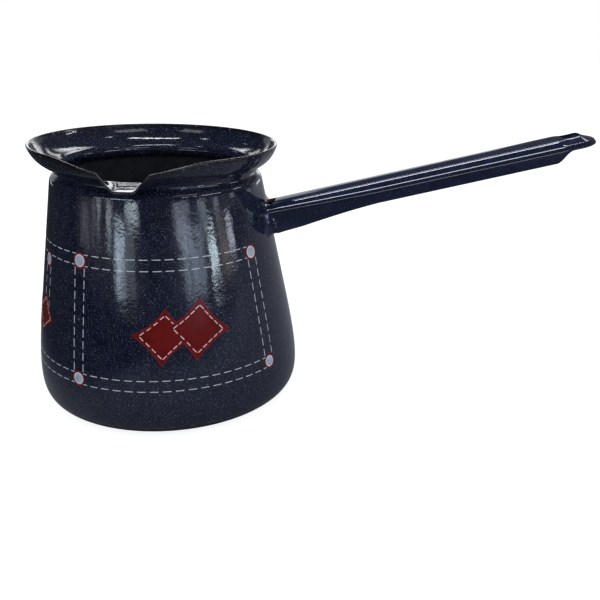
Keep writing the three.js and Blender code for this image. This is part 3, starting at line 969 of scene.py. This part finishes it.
# Floor, world and lamps: plain white studio with tubes and strips that the enamel reflects
studio = {
    "floorRadius": 3.0, "floorSides": 96, "floorLevel": -0.0002, "floorTint": (0.92, 0.98, 1.1),
    "floorTone": 0.43, "floorFar": 0.05, "floorNear": 0.4,  # tone, also far left and at the front; the darker far left is painted shade that the enamel mirrors
    "leftFall": (-0.15, -0.04), "frontFall": (-0.4, -0.15), "floorGlow": 0.86, "glowFill": 0.8,
    "worldDiffuse": 0.7, "worldGloss": (0.03, 0.12), "glossFall": (-0.6, 0.8),  # left and right
    "stripDistance": 0.8, "stripGrow": 1.25, "sideFade": 0.22, "footFade": 0.4, "headFade": 0.25,
    "grainAcross": 16, "grainUp": 48, "grainShift": 7.3, "grainRange": (0.32, 0.68, 0.4, 1.65),
    "tubeColour": (0.95, 0.97, 1.0),
    # soft streaks: headings from and to, heights from and to in metres, level, colour
    "streaks": (
        (-160, -150, 0.06, 0.125, 0.7, (0.85, 0.88, 1.0)),
        (-148, -144, 0.09, 0.165, 1.3, (0.8, 0.88, 1.0)),
        (-141.5, -137.5, 0.10, 0.185, 3.6, (0.78, 0.88, 1.0)),
        (-131, -126, 0.10, 0.195, 3.8, (0.78, 0.88, 1.0)),
        (-123.5, -112.5, 0.048, 0.148, 6.4, (0.68, 0.85, 1.0)),
        (-111, -99, 0.155, 0.205, 7.0, (0.76, 0.89, 1.0)),
        (-112, -104.5, 0.056, 0.165, 1.4, (0.7, 0.85, 1.0)),
        (-65, -49, 0.118, 0.215, 2.9, (0.72, 0.82, 1.0)),
        (-60, -39, 0.05, 0.149, 3.2, (0.64, 0.79, 1.0)),
        (-40, -31, 0.125, 0.205, 2.5, (0.72, 0.89, 1.0)),
        (-34, -25, 0.053, 0.132, 10.5, (0.74, 0.92, 1.0)),
        (-11, -3, 0.06, 0.12, 6.0, (0.78, 0.84, 1.0)),
        (-22, -12, 0.045, 0.12, 1.6, (1.0, 0.82, 0.62)),
        (-22, -15, 0.12, 0.205, 2.0, (0.74, 0.85, 1.0)),
        (1, 14, 0.13, 0.205, 2.6, (0.95, 0.88, 1.0)),
        (-165, -98, 0.02, 0.215, 0.28, (1.0, 0.9, 0.88)),
        (-72, -2, 0.02, 0.215, 0.22, (0.85, 0.88, 1.0)),
        (28, 36, 0.03, 0.1, 1.2, (0.72, 0.86, 1.0)),
        (52, 66, 0.04, 0.13, 3.2, (0.68, 0.82, 1.0)),
        (136, 146, 0.04, 0.09, 1.6, (0.7, 0.84, 1.0)),
        (112, 140, 0.0, 0.3, 0.5, (0.85, 0.93, 1.0)),
        (40, 84, 0.0, 0.3, 0.35, (0.85, 0.93, 1.0)),
        (79, 121, 0.05, 0.34, 2.4, (0.95, 0.97, 1.0)),
        (79, 121, 0.42, 0.48, 3.0, (0.95, 0.97, 1.0)),
        (79, 121, 0.56, 0.7, 2.6, (0.95, 0.97, 1.0)),
    ),
    # panels with clean edges, in the same way
    "panels": (
        (-146, -130, 0.24, 0.27, 7.0, (0.8, 0.92, 1.0)),
        (-128, -104, 0.25, 0.29, 12.0, (0.8, 0.92, 1.0)),
        (-52, -45, 0.49, 0.52, 20.0, (0.9, 0.95, 1.0)),
        (-42, -35, 0.49, 0.52, 20.0, (0.9, 0.95, 1.0)),
        (-31, -5, 0.49, 0.52, 20.0, (0.9, 0.95, 1.0)),
        (14, 28, 0.49, 0.52, 14.0, (0.9, 0.95, 1.0)),
        (139, 143, 0.71, 0.74, 8.0, (0.9, 0.95, 1.0)),
        (110, 114, 0.55, 0.575, 8.0, (0.9, 0.95, 1.0)),
    ),
    # tubes: middle, what they face, size, level and what they light
    "tubes": (
        ((-0.005, 0.10, 0.9), (0, 0, 0.1), (0.31, 0.06), 24.0, "pot"),
        ((-0.37, 0.10, 0.9), (0, 0, 0.1), (0.08, 0.05), 9.0, "pot"),
        ((0.37, 0.10, 0.9), (0, 0, 0.1), (0.08, 0.05), 9.0, "pot"),
        ((0.06, 1.0, 0.9), (0, 0, 0.1), (0.23, 0.2), 5.0, "pot"),
        ((0.47, -0.46, 0.9), (0, 0, 0.1), (0.46, 0.2), 2.2, "pot"),
        ((-0.41, -0.58, 0.9), (0, 0, 0.1), (0.36, 0.2), 2.2, "pot"),
        ((-0.22, 0.10, 0.9), (-0.22, 0, 0.1), (0.96, 0.13), 38.0, "handle"),
        ((0.225, 0.58, 0.9), (0.225, 0, 0.1), (0.09, 0.24), 12.0, "handle"),
        ((0.48, 0.57, 0.9), (0.48, 0, 0.1), (0.13, 0.3), 4.5, "handle"),
        ((0.0, -0.50, 0.55), (0, 0, 0.1), (0.64, 0.1), 17.0, "handle"),
        ((0.05, -0.72, 0.26), (0.05, 0, 0.1), (0.7, 0.05), 5.0, "handle"),
        ((0.0, 0.55, 0.62), (0, 0, 0.1), (0.64, 0.1), 10.0, "handle"),
        ((0.744, 0.293, 0.045), (0.05, 0, 0.08), (0.1, 0.05), 6.0, "handle"),
        ((-0.49, -0.63, 0.06), (0.05, 0, 0.08), (0.34, 0.08), 5.0, "handle"),
        ((-0.29, 0.8, 0.21), (-0.29, 0, 0.21), (0.42, 0.42), 0.8, "handle"),
        ((0.03, 0.8, 0.145), (0.03, 0, 0.145), (0.22, 0.29), 0.8, "handle"),
        ((0.19, 0.8, 0.135), (0.19, 0, 0.135), (0.1, 0.27), 0.8, "handle"),
        ((0.27, 0.8, 0.08), (0.27, 0, 0.08), (0.06, 0.16), 0.8, "handle"),
    ),
}
handleSet = ("ridgedHandle", "handleFoot", "weldFront", "weldBack")


def litSets():
    sets = {name: bpy.data.collections.new(name + "Lit") for name in ("handle", "pot")}
    for piece in scene.objects:
        if piece.type == "MESH" and not piece.hide_render:
            sets["handle" if piece.name in handleSet else "pot"].objects.link(piece)
    return sets


def addLamp(name, place, target, width, height, level, colour, lit=None):
    data = bpy.data.lights.new(name, "AREA")
    data.shape = "RECTANGLE"
    data.size, data.size_y = width, height
    data.energy = level * pi * width * height
    data.color = colour
    lamp = bpy.data.objects.new(name, data)
    lamp.location = place
    lamp.rotation_euler = (Vector(target) - Vector(place)).to_track_quat("-Z", "Y").to_euler()
    lamp.visible_camera = False
    scene.collection.objects.link(lamp)
    if lit:
        lamp.light_linking.receiver_collection = lit
    return lamp


def soften(data, shift):  # uneven lamp with soft edges, so that its mirror image looks like a streak
    s = studio
    data.use_nodes = True
    tree = data.node_tree
    across, up = axes(tree, addNode(tree, "ShaderNodeNewGeometry").outputs["Parametric"])[:2]
    fades = []
    for way, low, high in ((across, s["sideFade"], s["sideFade"]), (up, s["footFade"], s["headFade"])):
        fades.append(times(tree, spread(tree, way, 0.0, low), spread(tree, way, 1.0, 1 - high)))
    spot = addNode(tree, "ShaderNodeCombineXYZ", {
        0: mathNode(tree, "MULTIPLY_ADD", across, s["grainAcross"] * data.size, shift),
        1: times(tree, up, s["grainUp"] * data.size_y),
    })
    grain = spread(tree, noise(tree, spot.outputs[0], 1.0, 3), *s["grainRange"])
    strength = times(tree, times(tree, *fades), grain)
    setInputs(tree, tree.nodes["Emission"], {"Strength": strength})


def addLamps(sets):
    s = studio
    reach = s["stripDistance"]
    for kind, grow in (("streaks", s["stripGrow"]), ("panels", 1.0)):
        for n, (low, high, bottom, top, level, colour) in enumerate(s[kind]):
            heading, z = radians((low + high) / 2), (bottom + top) / 2
            place = (reach * cos(heading), reach * sin(heading), z)
            width = 2 * reach * tan(radians(abs(high - low) / 2)) * grow
            lit = sets["pot"] if kind == "panels" or low > 0 else None  # the handle sees only the streaks in front
            lamp = addLamp(f"{kind}{n}", place, (0, 0, z), width, (top - bottom) * grow, level, colour, lit)
            if kind == "streaks":
                soften(lamp.data, s["grainShift"] * n)
    for n, (place, target, (width, height), level, lit) in enumerate(s["tubes"]):
        addLamp(f"tube{n}", place, target, width, height, level, s["tubeColour"], sets[lit])


def addWorld():
    world = bpy.data.worlds.new("whiteStudio")
    scene.world = world
    world.use_nodes = True
    tree, diffuse = world.node_tree, studio["worldDiffuse"]
    sky = axes(tree, addNode(tree, "ShaderNodeTexCoord").outputs["Generated"])
    gloss = spread(tree, sky["X"], *studio["glossFall"], *studio["worldGloss"])
    seen, mirrored = rays(tree)
    level = mathNode(tree, "MULTIPLY_ADD", seen, 1 - diffuse, diffuse)
    level = mathNode(tree, "MULTIPLY_ADD", mirrored, mathNode(tree, "SUBTRACT", gloss, diffuse), level)
    setInputs(tree, tree.nodes["Background"], {"Color": (1, 1, 1, 1), "Strength": level})


def addFloor():
    s = studio
    turns = [t * 2 * pi for t in sharesOf(s["floorSides"], 0)[:-1]]
    ring = [(s["floorRadius"] * cos(a), s["floorRadius"] * sin(a), s["floorLevel"]) for a in turns]
    mesh = bpy.data.meshes.new("paleFloor")
    mesh.from_pydata(ring, [], [list(range(len(ring)))])
    floor = bpy.data.objects.new("paleFloor", mesh)
    scene.collection.objects.link(floor)
    material, tree, shader = startFinish("paleFloor")
    place = axes(tree, addNode(tree, "ShaderNodeTexCoord").outputs["Object"])
    # the floor's colour grows darker far left, painted shade that the enamel mirrors, and darker toward the front;
    # the glow below fills it back to white for the camera
    tone = spread(tree, place["X"], *s["leftFall"], s["floorFar"], s["floorTone"])
    tone = times(tree, tone, spread(tree, place["Y"], *s["frontFall"], s["floorNear"]))
    tints = {k: times(tree, tone, tint) for k, tint in enumerate(s["floorTint"])}
    lack = mathNode(tree, "SUBTRACT", s["floorTone"], tone)
    glow = mathNode(tree, "MULTIPLY_ADD", lack, s["glowFill"], s["floorGlow"])
    setInputs(tree, shader, {
        "Base Color": addNode(tree, "ShaderNodeCombineColor", tints).outputs[0],
        "Roughness": 1.0, "Specular IOR Level": 0.0, "Emission Color": (1, 1, 1, 1),
        "Emission Strength": times(tree, rays(tree)[0], glow),
    })
    mesh.materials.append(material)


lit = litSets()
addWorld()
addFloor()
addLamps(lit)
print("coffee pot: studio lit")
